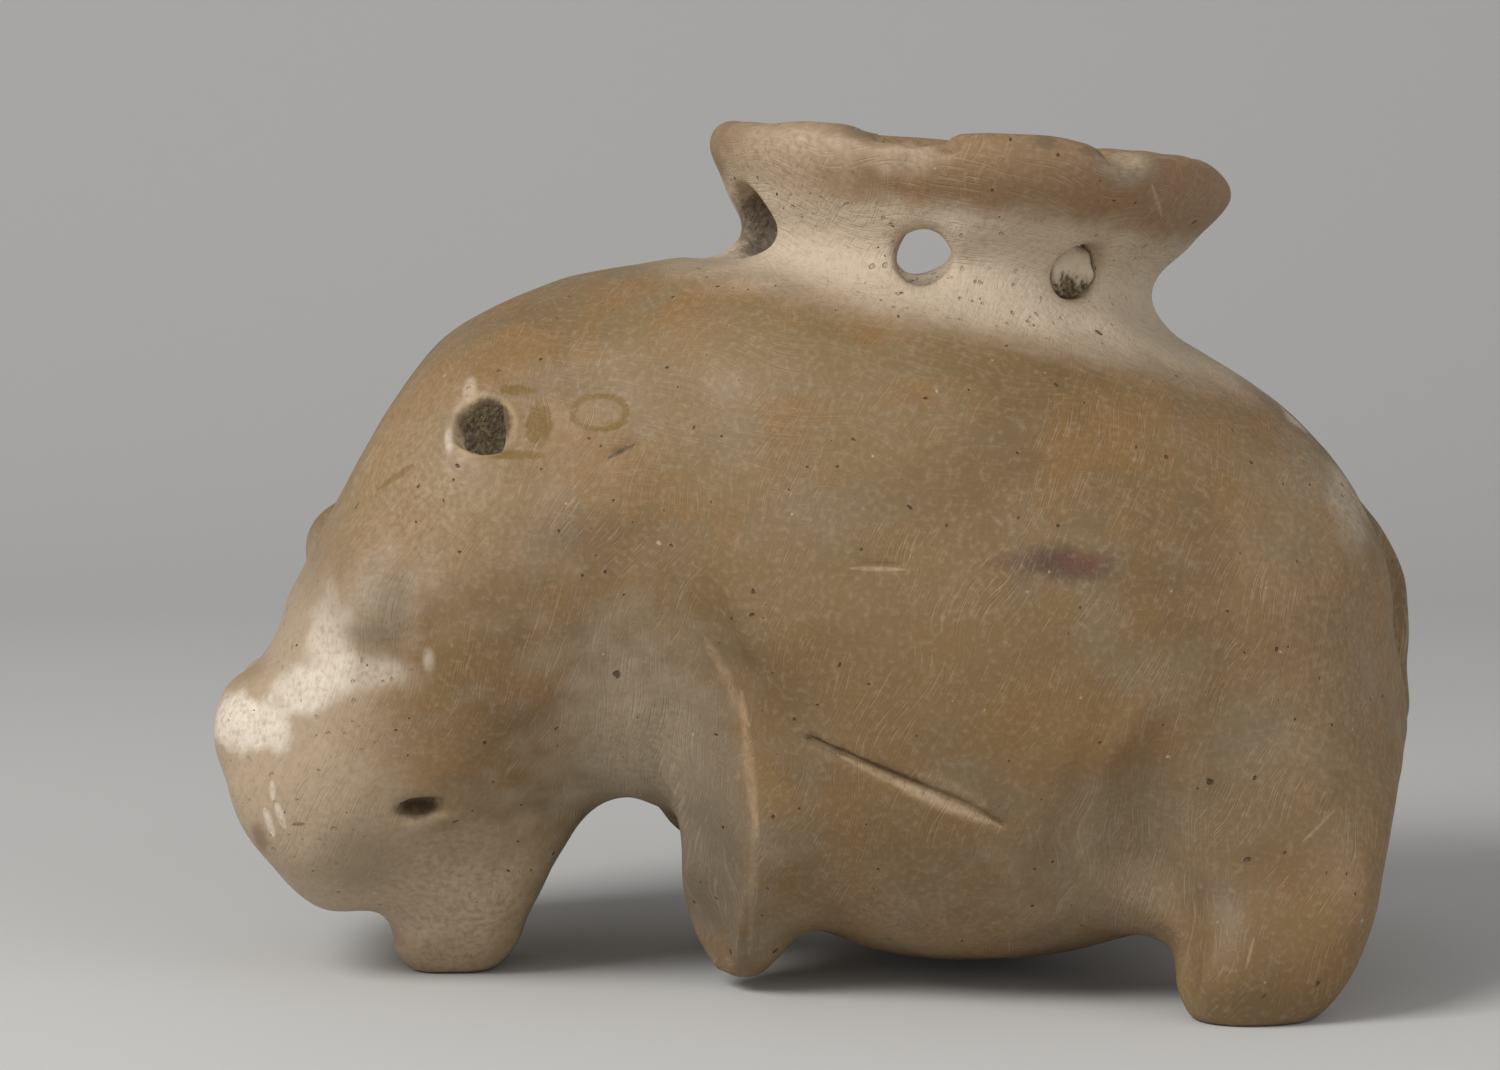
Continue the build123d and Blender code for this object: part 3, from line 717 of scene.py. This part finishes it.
# Patches on the clay: colour, strength, middle, half sizes, and how soft the edge is
PATCHES = {
    "forehead": ("tan", 0.5, (-37, -17, 49), (11, 16, 10), 0.8),
    # Partly pale clay, partly painted light from below on the jaw
    "jaw": ("muzzle", 0.65, (-36, -12, 8), (11, 16, 10), 0.7),
    "brown flank": ("brown", 0.35, (8, -35, 32), (20, 10, 12), 0.8),
    # Painted light brightening the lower flank
    "belly": ("tan", 0.25, (14, -25, 8), (22, 14, 6), 0.8),
    "grey flank": ("grey", 0.5, (-0.1, -34, 47.9), (7, 8, 3), 0.7),
    "grey thigh": ("grey", 0.6, (39.8, -33, 23.2), (4, 9, 5), 0.7),
    "grey behind the knee": ("grey", 0.5, (31, -34, 31), (4, 9, 4), 0.7),
    "brown hind leg": ("brown", 0.8, (41, -34, 10), (9, 12, 11), 0.6),
    "orange heel": ("orange", 0.4, (46, -34, 8), (5, 8, 5), 0.7),
    # Partly pale clay, partly painted light from below on the throat
    "throat, pale": ("muzzle", 0.4, (-18, -20, 26), (6, 9, 9), 0.8),
    # Painted light on the rump, where the lamps fall off towards the tail
    "rump, painted light": ("tan", 0.3, (48, -28, 34), (9, 14, 16), 0.8),
    "orange flank": ("orange", 0.6, (23, -35, 28), (8, 9, 5), 0.7),
    "flank stain": ("purple", 0.95, (21.4, -35, 43.6), (4.9, 8, 1.5), 0.65),
    "flank stain, red end": ("red", 0.5, (24, -35, 43.8), (2.2, 8, 0.8), 0.7),
    # Painted shade: the head's shadow over the foreleg's front, on its own greyish-brown clay
    "shaded foreleg": ("shade_and_dark_spots", 0.7, (-10, -20, 13), (4.5, 10, 12), 0.7),
    "cheek stain": ("purple", 0.25, (-21.6, -25, 45.6), (5, 8, 1.9), 0.8),
    "jaw stain": ("purple", 0.25, (-27.8, -23, 27.5), (3.4, 8, 1.6), 0.8),
    "knee stain": ("purple", 0.35, (36.8, -29, 12.4), (2.6, 8, 1.7), 0.7),
    "shin stain": ("red", 0.2, (43.4, -35, 14.1), (2.2, 8, 1.8), 0.8),
    "foreleg ochre": ("gold", 0.4, (-3, -27, 12.6), (0.9, 8, 2.2), 0.7),
    "grey brow": ("ash", 0.6, (-41.4, -23, 38.9), (3.8, 6, 4.8), 0.6),
    # Painted shade on the left brow's knob and under it
    "dark brow": ("shade_and_dark_spots", 0.25, (-40.8, -23, 39.4), (2, 6, 2.8), 0.7),
    "dark under the brow": ("shade_and_dark_spots", 0.2, (-42.4, -23, 35.6), (2.6, 6, 0.8), 0.7),
    "chalk on the nose": ("chalk", 0.85, (-55.2, -16, 26.2), (5.2, 9, 2.7), 0.25),
    "chalk over the nose": ("chalk", 0.75, (-49.6, -20, 29.8), (3.6, 7, 2.3), 0.35),
    "chalk on the face": ("chalk", 0.55, (-46.8, -21, 34.6), (2.4, 7, 4.6), 0.5),
    "chalk under the brow": ("chalk", 0.4, (-43, -22, 32), (4.4, 7, 1.7), 0.6),
    "chalk on the cheek": ("chalk", 0.45, (-37, -24, 33.4), (0.5, 6, 0.9), 0.8),
    "brown bridge": ("orange", 0.6, (-57, -8, 31.2), (3, 10, 1.6), 0.7),
    "grey lip": ("grey", 0.6, (-44.4, -18, 13), (3.4, 8, 3.8), 0.7),
    "red lip edge": ("red", 0.6, (-54, -16.5, 15), (0.8, 6, 1.7), 0.6),
    # Painted shade in the slot at the corner of the mouth
    "mouth corner": ("pore", 0.85, (-38.4, -19.5, 18.5), (2, 4, 0.8), 0.4),
    "mouth corner, pale edge": ("cream", 0.45, (-36.2, -20, 17.9), (1.2, 5, 0.5), 0.6),
    "brown behind the mouth": ("orange", 0.5, (-37.5, -21, 23.6), (3.6, 7, 2.6), 0.8),
    "gold over the eye": ("gold", 1, (-28.7, -19.5, 58.7), (2, 5, 0.55), 0.3),
    "gold behind the eye": ("gold", 1.2, (-26.6, -22.3, 55.7), (1.3, 5, 1.9), 0.25),
    "gold under the eye": ("gold", 0.9, (-29.2, -22, 52.8), (3.2, 5, 0.45), 0.4),
    # Painted shade in the eye socket's recess
    "eye socket": ("shade_and_dark_spots", 0.9, (-31.7, -19.8, 55.5), (2.7, 1.8, 2.5), 0.3),
    "white over the eye": ("chalk", 0.35, (-33.2, -18.5, 58.6), (0.6, 5, 1.2), 0.4),
    # Painted highlights: glossy glints on the broken edge before the eye
    "painted highlight before the eye": ("chalk", 0.55, (-35.1, -20.5, 54.2), (0.5, 5, 1.4), 0.4),
    "rim, left": ("muzzle", 0.75, (-3.5, -17, 80.6), (8.5, 10, 4.2), 0.6),
    "rim scar, left": ("muzzle", 0.6, (8.2, -24, 80.8), (3.2, 6, 1.8), 0.4),
    "rim scar, right": ("ash", 0.8, (29.3, -21, 79.9), (2.5, 6, 1.8), 0.4),
    # Small darker patches along the rim's upper edge
    "rim dark patch": ("shade_and_dark_spots", 0.6, (21.1, -23.7, 82.2), (1.2, 6, 0.8), 0.5),
    "rim dark patch, right": ("shade_and_dark_spots", 0.5, (26.2, -23, 81.4), (1.6, 6, 0.6), 0.5),
    "rim dark patch, left": ("shade_and_dark_spots", 0.5, (4, -22, 83.2), (3.4, 6, 0.7), 0.6),
    # Painted shade inside the hole at the front of the neck
    "front hole": ("pore", 0.9, (-5.6, -5.4, 74), (3.4, 3.2, 4.2), 0.3),
    "rump flake": ("chalk", 0.6, (46.8, -9, 55.8), (1.6, 7, 1.3), 0.5),
    "rump ash": ("ash", 0.5, (46.5, -22, 51.2), (4, 8, 3.6), 0.7),
    "rump chalk": ("chalk", 0.35, (50.6, -19, 48), (2.2, 9, 4), 0.8),
}

# Thin marks on the left side: colour, strength, both ends in X and Z, and half the greatest width
STREAKS = {
    "slash, pale side": ("cream", 0.45, (1.5, 25.5), (16.9, 18.6), 0.5),
    "slash, pale side, broad end": ("cream", 0.4, (6.5, 23.1), (16, 19), 0.85),
    # Painted shadow along the slash's upper edge
    "slash, dark side": ("pore", 0.7, (-1.4, 27.4), (14, 20.9), 0.26),
    "slash, scuff": ("cream", 0.25, (9, 23.8), (15.5, 20.6), 1.4),
    "tick": ("cream", 0.4, (2.6, 43.1), (7.8, 43), 0.24),
    # Painted shade in the nick
    "nick": ("pore", 0.8, (-19.9, 52.6), (-17.3, 54), 0.25),
    "gold line": ("gold", 0.6, (-42.3, 49), (-38.6, 51.7), 0.35),
    # The foreleg's pale ridge: partly worn clay, partly a painted highlight along its crisp edge
    "ridge, top": ("tan", 0.45, (-10.8, 36), (-6.6, 27.5), 0.8),
    "ridge, middle": ("tan", 0.55, (-7.4, 31), (-5.9, 17), 0.65),
    "ridge, foot": ("tan", 0.25, (-6, 22), (-6.6, 4), 0.5),
    # Painted highlights on the glossy vertical facets of the muzzle's front
    "painted lip highlight": ("chalk", 0.7, (-53.3, 18.4), (-52.5, 15.4), 0.5),
    "painted lip highlight, upper": ("chalk", 0.65, (-52.1, 19), (-51.3, 16.4), 0.45),
    "painted lip highlight, top": ("chalk", 0.5, (-52.5, 21.2), (-52.4, 19.2), 0.35),
    "lip dash": ("pore", 0.8, (-50.6, 16.9), (-49.3, 17), 0.25),
    "rim scratch": ("cream", 0.45, (31.6, 78.2), (32.9, 75.2), 0.25),
    "thigh scratch": ("cream", 0.35, (44.8, 17.4), (48, 20.2), 0.18),
    "thigh scratch, low": ("cream", 0.35, (39.3, 6), (40.1, 8.9), 0.18),
}


# Scraped hollows, given for the left ones: middle and half sizes
THROAT_HOLLOW = ((-16, -20, 18), (10, 11, 18))
GROIN_HOLLOW = ((28, -29, 14), (9, 9, 11))

# Edge of the eye socket, ring of golden adhesive behind it, and crumbling hollow in the plug
EYE_EDGE = ((-31.8, -21, 55.4), (3.1, 6, 2.8))
GOLD_RING = ((-20.7, -24, 56.8), (2.5, 6, 1.6))
PLUG_HOLLOW = ((25.0, -18.5, 67.6), (2.4, 6, 2.1))


def clay_material(finish):
    """Burnished clay: buff to orange-brown, pale on the neck, with pores, scratches, chalk and stains."""
    clay = Recipe("burnished_clay")
    patch = clay.clouds(9, 4, 2)
    mottle = clay.clouds(3, 4, 3)
    grain = clay.clouds(0.6, 3, 4)
    ragged = (patch - 0.5) * 7 + (mottle - 0.5) * 3
    wobble = (mottle - 0.5) * 1.4 + (grain - 0.5) * 0.8
    worn = 0.85 + (grain - 0.5) * 1.4
    fold = clay.add("ShaderNodeCombineXYZ", None, {0: clay.x, 1: -clay.y.size(), 2: clay.z})

    upper = (clay.z + ragged).rise(36, 62)
    clay.colour = clay.blend(clay.clouds(26, 2, 1).rise(0.36, 0.64), finish.buff, finish.brown)
    clay.coat(patch.rise(0.42, 0.62) * (0.35 + 0.35 * upper), finish.orange)
    abraded = clay.clouds(7, 4, 5).rise(0.48, 0.7) * (0.55 - 0.3 * upper)
    clay.coat(abraded, finish.grey)

    throat = clay.spot(*THROAT_HOLLOW, wobble, 0.6, fold)
    groin = clay.spot(*GROIN_HOLLOW, wobble, 0.6, fold)
    clay.coat(throat.highest(groin * 0.5) * 0.8, finish.ash)

    over_seat = clay.z - NECK_SEAT[1] + (clay.x - NECK_SEAT[0]) * NECK_SEAT_FALL
    neck = (over_seat + ragged * 0.5 + clay.x * 0.06).rise(-3.8, 1.8)
    neck = neck * (over_seat + ragged * 0.6).fall(7.0, 11)
    rim = (over_seat + ragged * 0.5).rise(8.0, 11.0)
    clay.coat(rim * 0.8, finish.rim_brown)
    clay.coat(neck * 0.9, finish.pale)
    muzzle = (clay.x + ragged).fall(-48, -35) * (clay.z + ragged).fall(33, 48)
    clay.coat(muzzle * 0.75, finish.muzzle)

    chalk = 0.0
    for name, strength, middle, radii, edge in PATCHES.values():
        mark = clay.spot(middle, radii, wobble, edge) * worn
        clay.coat(mark * strength, getattr(finish, name))
        if name == "chalk":
            chalk = mark.highest(chalk)
    lid = (clay.reach(clay.place, *EYE_EDGE) - 1 + wobble * 0.3).size()
    clay.coat(lid.fall(0.0, 0.2) * 0.5, finish.cream)
    ring = (clay.reach(clay.place, *GOLD_RING) - 1 + wobble * 0.35).size()
    clay.coat(ring.fall(0.08, 0.24) * 1.1 * worn, finish.gold)

    tail = clay.x.rise(54, 57)
    drawn = clay.strokes(68, 3.0, 0.15, 1).rise(0.54, 0.7) * patch.rise(0.4, 0.56)
    upright = clay.strokes(86, 4.0, 0.17, 2).rise(0.5, 0.7) * throat.highest(groin).highest(tail)
    level = clay.strokes(-11, 5.0, 0.17, 3).rise(0.52, 0.7) * neck.highest(rim).highest(upper * 0.5)
    scratches = (drawn * 0.7).highest(upright).highest(level * 0.7)
    clay.coat(scratches * 0.2, finish.pale)

    pores = clay.dots(2.0, 0.24, 0.6, 1).highest(clay.dots(5.0, 0.45, 0.5, 2))
    pitted = neck.highest(muzzle * 0.6).highest(chalk)
    pits = clay.dots(1.2, 0.32, 0.6, 4) * pitted * patch.rise(0.38, 0.58)
    specks = clay.dots(2.6, 0.25, 0.35, 3)
    clay.coat(specks * 0.5, finish.pale)
    clay.coat(pits * 0.35, finish.brown)
    # Painted shade in the pores
    clay.coat(pores * 0.8, finish.pore)
    for name, strength, start, end, width in STREAKS.values():
        mark = clay.streak(start, end, width, wobble * 0.7) * worn
        clay.coat(mark * strength, getattr(finish, name))
    clay.coat((0.5 - grain).highest(0.0) * 0.9, finish.brown)
    clay.coat((grain - 0.5).highest(0.0) * 0.6, finish.pale)

    roughness = 0.52 + (mottle - 0.5) * 0.3 + neck * 0.16 + throat * 0.08 + chalk * 0.15 - muzzle * 0.06
    height = (grain - 0.5) * (0.06 + neck * 0.12) - pores * 0.22 - pits * 0.2
    height = height - scratches * 0.05 + (mottle - 0.5) * 0.14
    return clay.finish(clay.colour, roughness, height)


def bedding_material(finish):
    """Crumbly fill of dark grains and a few paler crumbs."""
    grit = Recipe("eye_bedding")
    grains = grit.clouds(0.45, 4, 7)
    crumbs = grit.dots(1.1, 0.4, 0.35, 8)
    colour = grit.blend(grains.rise(0.35, 0.75) * 0.6 + crumbs * 0.4, finish.grit_dark, finish.grit_light)
    return grit.finish(colour, 0.9 - grains * 0.2, (grains - 0.5) * 0.5 + crumbs * 0.15)


def plug_material(finish):
    """Hardened pale fill with a crumbling dark hollow at its lower right."""
    plug = Recipe("hole_fill")
    grains = plug.clouds(0.5, 4, 7)
    clots = plug.clouds(1.8, 3, 8)
    hollow = plug.spot(*PLUG_HOLLOW, (clots - 0.5) * 1.2 + (grains - 0.5) * 0.6, 0.2)
    pale = plug.blend(clots.rise(0.4, 0.65) * 0.3, finish.pale, finish.ash)
    dark = plug.blend(grains.rise(0.3, 0.65), finish.grit_dark, finish.grit_light)
    height = (grains - 0.5) * (0.15 + 0.35 * hollow)
    return plug.finish(plug.blend(hollow, pale, dark), 0.75 + hollow * 0.15, height)


def length_property(name, description, default, low, high):
    """A length of the vessel, given in millimetres."""
    return bpy.props.FloatProperty(name=name, description=description, default=default * MM,
                                   min=low * MM, max=high * MM, unit="LENGTH", precision=5)


class AskosForm(bpy.types.PropertyGroup):
    """Sizes of the modelled skin."""

    grid_step: length_property("Grid step", "Distance between the points that hold the clay", 0.5, 0.3, 2)
    worn_edges: length_property("Worn edges", "How far handling has rounded the edges", 0.6, 0.2, 3)
    hand_waves: length_property("Hand waves", "Height of the unevenness that hand shaping left", 0.2, 0, 1)


def colour_property(name, description, red, green, blue):
    """A colour, given by the values that a screen shows."""
    return bpy.props.FloatVectorProperty(name=name, description=description, subtype="COLOR", size=3,
                                         min=0, max=1, default=paint(red, green, blue))


class AskosFinish(bpy.types.PropertyGroup):
    """Colours of the fired clay and what lies on it."""

    buff: colour_property("Buff", "Plain burnished clay", 123, 101, 68)
    brown: colour_property("Brown", "Darker clay", 106, 84, 53)
    orange: colour_property("Orange", "Clay that fired to orange-brown", 131, 96, 53)
    # Also painted light on the belly and the rump, and partly a painted highlight on the foreleg's ridge
    tan: colour_property("Tan", "Paler worn clay of the forehead and the ridges", 170, 142, 109)
    grey: colour_property("Grey", "Greyer abraded clay", 122, 107, 83)
    ash: colour_property("Ash", "Scraped clay of the hollows", 146, 132, 110)
    pale: colour_property("Pale", "Pinkish-white clay of the neck", 190, 173, 150)
    rim_brown: colour_property("Rim brown", "Brown band of the rim", 138, 109, 79)
    # Also partly painted light from below on the jaw and the throat
    muzzle: colour_property("Muzzle", "Pale clay of the muzzle", 178, 158, 132)
    # Also painted highlights before the left eye and on the muzzle's front
    chalk: colour_property("Chalk", "White patches", 218, 206, 188)
    cream: colour_property("Cream", "Fresh clay in cuts and on worn ridges", 186, 163, 130)
    purple: colour_property("Purple", "Reddish-purple stain", 72, 50, 42)
    red: colour_property("Red", "Red stain", 104, 54, 42)
    gold: colour_property("Gold", "Golden-brown adhesive", 106, 77, 5)
    # Painted shade on the foreleg, in the eye sockets and about the left brow; also small dark spots on the
    # rim
    shade_and_dark_spots: colour_property("Shade and dark spots", "Grey-brown spots", 84, 72, 58)
    # Painted shade, in pores and in the holes, slots and cuts
    pore: colour_property("Pore", "Shade in the pores", 58, 44, 31)
    grit_dark: colour_property("Grit, dark", "Dark grains of the fillings", 60, 50, 34)
    grit_light: colour_property("Grit, light", "Pale crumbs of the fillings", 122, 105, 76)


class AskosStage(bpy.types.PropertyGroup):
    """Camera, light and floor."""

    camera_distance: bpy.props.FloatProperty(
        name="Camera distance", description="From the camera to the point it looks at",
        default=0.43, min=0.1, unit="LENGTH")
    camera_rise: bpy.props.FloatProperty(
        name="Camera rise", description="Angle at which the camera looks down",
        default=math.radians(4.9), subtype="ANGLE")
    lens: bpy.props.FloatProperty(
        name="Lens", description="Focal length on a 36 mm wide sensor, in millimetres", default=103.2, min=10)
    floor: colour_property("Floor", "Plain floor and backdrop", 196, 195, 192)


workbench = {}


def add_pieces(names, material):
    """Put cut members in the scene in place of their solids."""
    for name in names:
        piece = bpy.data.objects.new(name + "_skin", workbench["meshes"][name])
        bpy.context.scene.collection.objects.link(piece)
        piece.data.materials.clear()
        piece.data.materials.append(material)
        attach(piece, "root")
        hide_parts(name)


def add_clay(*names):
    """Put members of fired clay in the scene, which is all that their operator does."""
    add_pieces(names, workbench["clay"])
    return {"FINISHED"}


class ASKOS_OT_model_clay(bpy.types.Operator):
    """Lute the members together, sculpt the skin and cut it where the members meet"""

    bl_idname = "askos.model_clay"
    bl_label = "Model the clay"

    def execute(self, context):
        form = context.scene.askos_form
        step = form.grid_step / MM * 1.0
        clay = Clay(CAD_BOX, step)
        members = {name: clay.distances(*node_mesh(name)) for name in CLAY_MEMBERS}
        hollow = lute(clay, members)
        sculpt(clay, form)
        hollow_out(clay, hollow)
        workbench["meshes"] = cut_members(clay, members)
        workbench["clay"] = clay_material(context.scene.askos_finish)
        return {"FINISHED"}


class ASKOS_OT_trunk(bpy.types.Operator):
    """Belly and back of the hollow trunk"""

    bl_idname = "askos.trunk"
    bl_label = "Trunk"

    def execute(self, context):
        return add_clay("belly_shell", "back_shell")


class ASKOS_OT_neck(bpy.types.Operator):
    """Pierced neck and flared rim"""

    bl_idname = "askos.neck"
    bl_label = "Neck and rim"

    def execute(self, context):
        return add_clay("neck_collar", "rim_lip")


class ASKOS_OT_head(bpy.types.Operator):
    """Head and chin"""

    bl_idname = "askos.head"
    bl_label = "Head and chin"

    def execute(self, context):
        return add_clay("head", "lower_jaw")


class ASKOS_OT_face(bpy.types.Operator):
    """Brows and nostrils"""

    bl_idname = "askos.face"
    bl_label = "Brows and nostrils"

    def execute(self, context):
        return add_clay("left_brow", "right_brow", "left_nostril", "right_nostril")


class ASKOS_OT_legs(bpy.types.Operator):
    """Forelegs and hind legs"""

    bl_idname = "askos.legs"
    bl_label = "Legs"

    def execute(self, context):
        return add_clay("left_foreleg", "left_hind_leg", "right_foreleg", "right_hind_leg")


class ASKOS_OT_tail(bpy.types.Operator):
    """Flat tail on the rump"""

    bl_idname = "askos.tail"
    bl_label = "Tail"

    def execute(self, context):
        return add_clay("tail")


def lump(name):
    """A crumbly lump in place of a filling's plain solid, with a bite taken out of it."""
    seed, roughness, middle, sizes = FILLINGS[name]
    fine = Clay([list(corner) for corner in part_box(name)], FILLING_STEP)
    fine.distance = fine.distances(*node_mesh(name))
    fine.distance = fine.blurred(fine.distance, FILLING_WEAR) + fine.waves(seed, CRUMB_SIZE, roughness)
    fine.carve_bowl(middle, sizes, SOFTNESS["filling"])
    mesh = plain_mesh(name, *fine.surface(fine.distance))
    smooth_skin(mesh, fine)
    workbench["meshes"][name] = mesh


class ASKOS_OT_eye_bedding(bpy.types.Operator):
    """Dark bedding left in the eye sockets"""

    bl_idname = "askos.eye_bedding"
    bl_label = "Eye bedding"

    def execute(self, context):
        names = ("left_eye_bedding", "right_eye_bedding")
        for name in names:
            lump(name)
        add_pieces(names, bedding_material(context.scene.askos_finish))
        return {"FINISHED"}


class ASKOS_OT_hole_plug(bpy.types.Operator):
    """Hardened fill in one suspension hole"""

    bl_idname = "askos.hole_plug"
    bl_label = "Hole plug"

    def execute(self, context):
        lump("hole_plug")
        add_pieces(("hole_plug",), plug_material(context.scene.askos_finish))
        return {"FINISHED"}


class ASKOS_OT_stage(bpy.types.Operator):
    """Floor with a curved backdrop, soft light and the camera"""

    bl_idname = "askos.stage"
    bl_label = "Stage"

    LOOK_AT = (-6.55 * MM, 0.0, 43.2 * MM)
    FLOOR_HALF = 1.6
    BACK_START, BACK_RADIUS, BACK_TOP = 0.35, 0.4, 1.6
    BACK_STEPS = 16
    SENSOR_WIDTH = 36.0
    NEAREST_SEEN = 0.01
    ROOM_LIGHT = (0.32, 0.32, 0.33, 1)
    # Lamps: place, width and power in watts
    LAMPS = {
        "key": ((-0.46, -0.42, 0.55), 0.35, 5.2),
        "fill": ((0.55, -0.45, 0.3), 0.6, 1.6),
        "low_fill": ((-0.35, -0.6, 0.08), 0.4, 0.75),
    }

    def execute(self, context):
        stage = context.scene.askos_stage
        self.add_floor(context, stage)
        self.add_lights(context)
        rise = stage.camera_rise
        back = stage.camera_distance * Vector((0, -math.cos(rise), math.sin(rise)))
        data = bpy.data.cameras.new("camera")
        data.lens = stage.lens
        data.sensor_width = self.SENSOR_WIDTH
        data.clip_start = self.NEAREST_SEEN
        context.scene.camera = self.add_aimed(context, data, Vector(self.LOOK_AT) + back)
        context.scene.view_settings.view_transform = "Standard"
        return {"FINISHED"}

    def add_aimed(self, context, data, place):
        """A camera or a lamp at a place, turned towards the vessel."""
        thing = bpy.data.objects.new(data.name, data)
        thing.location = place
        thing.rotation_euler = (Vector(self.LOOK_AT) - Vector(place)).to_track_quat("-Z", "Y").to_euler()
        context.scene.collection.objects.link(thing)
        return thing

    def add_floor(self, context, stage):
        profile = [(-self.FLOOR_HALF, 0.0)]
        for step in range(self.BACK_STEPS + 1):
            turn = math.pi / 2 * step / self.BACK_STEPS
            profile.append((self.BACK_START + self.BACK_RADIUS * math.sin(turn),
                            self.BACK_RADIUS * (1 - math.cos(turn))))
        profile.append((self.BACK_START + self.BACK_RADIUS, self.BACK_TOP))
        points = [(side * self.FLOOR_HALF, y, z) for y, z in profile for side in (LEFT, RIGHT)]
        faces = [(i, i + 1, i + 3, i + 2) for i in range(0, len(points) - 2, 2)]
        mesh = bpy.data.meshes.new("floor")
        mesh.from_pydata(points, [], faces)
        mesh.polygons.foreach_set("use_smooth", [True] * len(faces))
        floor = bpy.data.objects.new("floor", mesh)
        context.scene.collection.objects.link(floor)
        paper = Recipe("floor_paper")
        fibres = paper.clouds(0.6, 2, 1)
        colour = paper.blend(fibres * 0.06, stage.floor, [value * 0.9 for value in stage.floor])
        mesh.materials.append(paper.finish(colour, 0.9, fibres * 0.01))

    def add_lights(self, context):
        world = bpy.data.worlds.new("studio")
        world.use_nodes = True
        world.node_tree.nodes["Background"].inputs["Color"].default_value = self.ROOM_LIGHT
        context.scene.world = world
        for name, (place, size, power) in self.LAMPS.items():
            data = bpy.data.lights.new(name, "AREA")
            data.size = size
            data.energy = power
            self.add_aimed(context, data, place)


class ASKOS_PT_panel(bpy.types.Panel):
    """Sizes, colours and steps of the vessel"""

    bl_idname = "ASKOS_PT_panel"
    bl_label = "Askos"
    bl_space_type = "VIEW_3D"
    bl_region_type = "UI"
    bl_category = "Askos"

    def draw(self, context):
        for place, kind in SETTINGS.items():
            for name in kind.__annotations__:
                self.layout.prop(getattr(context.scene, place), name)
        for step in STEPS:
            self.layout.operator(step.bl_idname)


STEPS = (
    ASKOS_OT_model_clay, ASKOS_OT_trunk, ASKOS_OT_neck, ASKOS_OT_head, ASKOS_OT_face, ASKOS_OT_legs,
    ASKOS_OT_tail, ASKOS_OT_eye_bedding, ASKOS_OT_hole_plug, ASKOS_OT_stage,
)
SETTINGS = {"askos_form": AskosForm, "askos_finish": AskosFinish, "askos_stage": AskosStage}
CLASSES = (*SETTINGS.values(), *STEPS, ASKOS_PT_panel)


def register():
    for cls in CLASSES:
        bpy.utils.register_class(cls)
    for place, kind in SETTINGS.items():
        setattr(bpy.types.Scene, place, bpy.props.PointerProperty(type=kind))


def unregister():
    for place in reversed(SETTINGS):
        delattr(bpy.types.Scene, place)
    for cls in reversed(CLASSES):
        bpy.utils.unregister_class(cls)


def main():
    register()
    bpy.ops.askos.model_clay()
    bpy.ops.askos.trunk()
    bpy.ops.askos.neck()
    bpy.ops.askos.head()
    bpy.ops.askos.face()
    bpy.ops.askos.legs()
    bpy.ops.askos.tail()
    bpy.ops.askos.eye_bedding()
    bpy.ops.askos.hole_plug()
    bpy.ops.askos.stage()


if __name__ == "__main__":
    main()
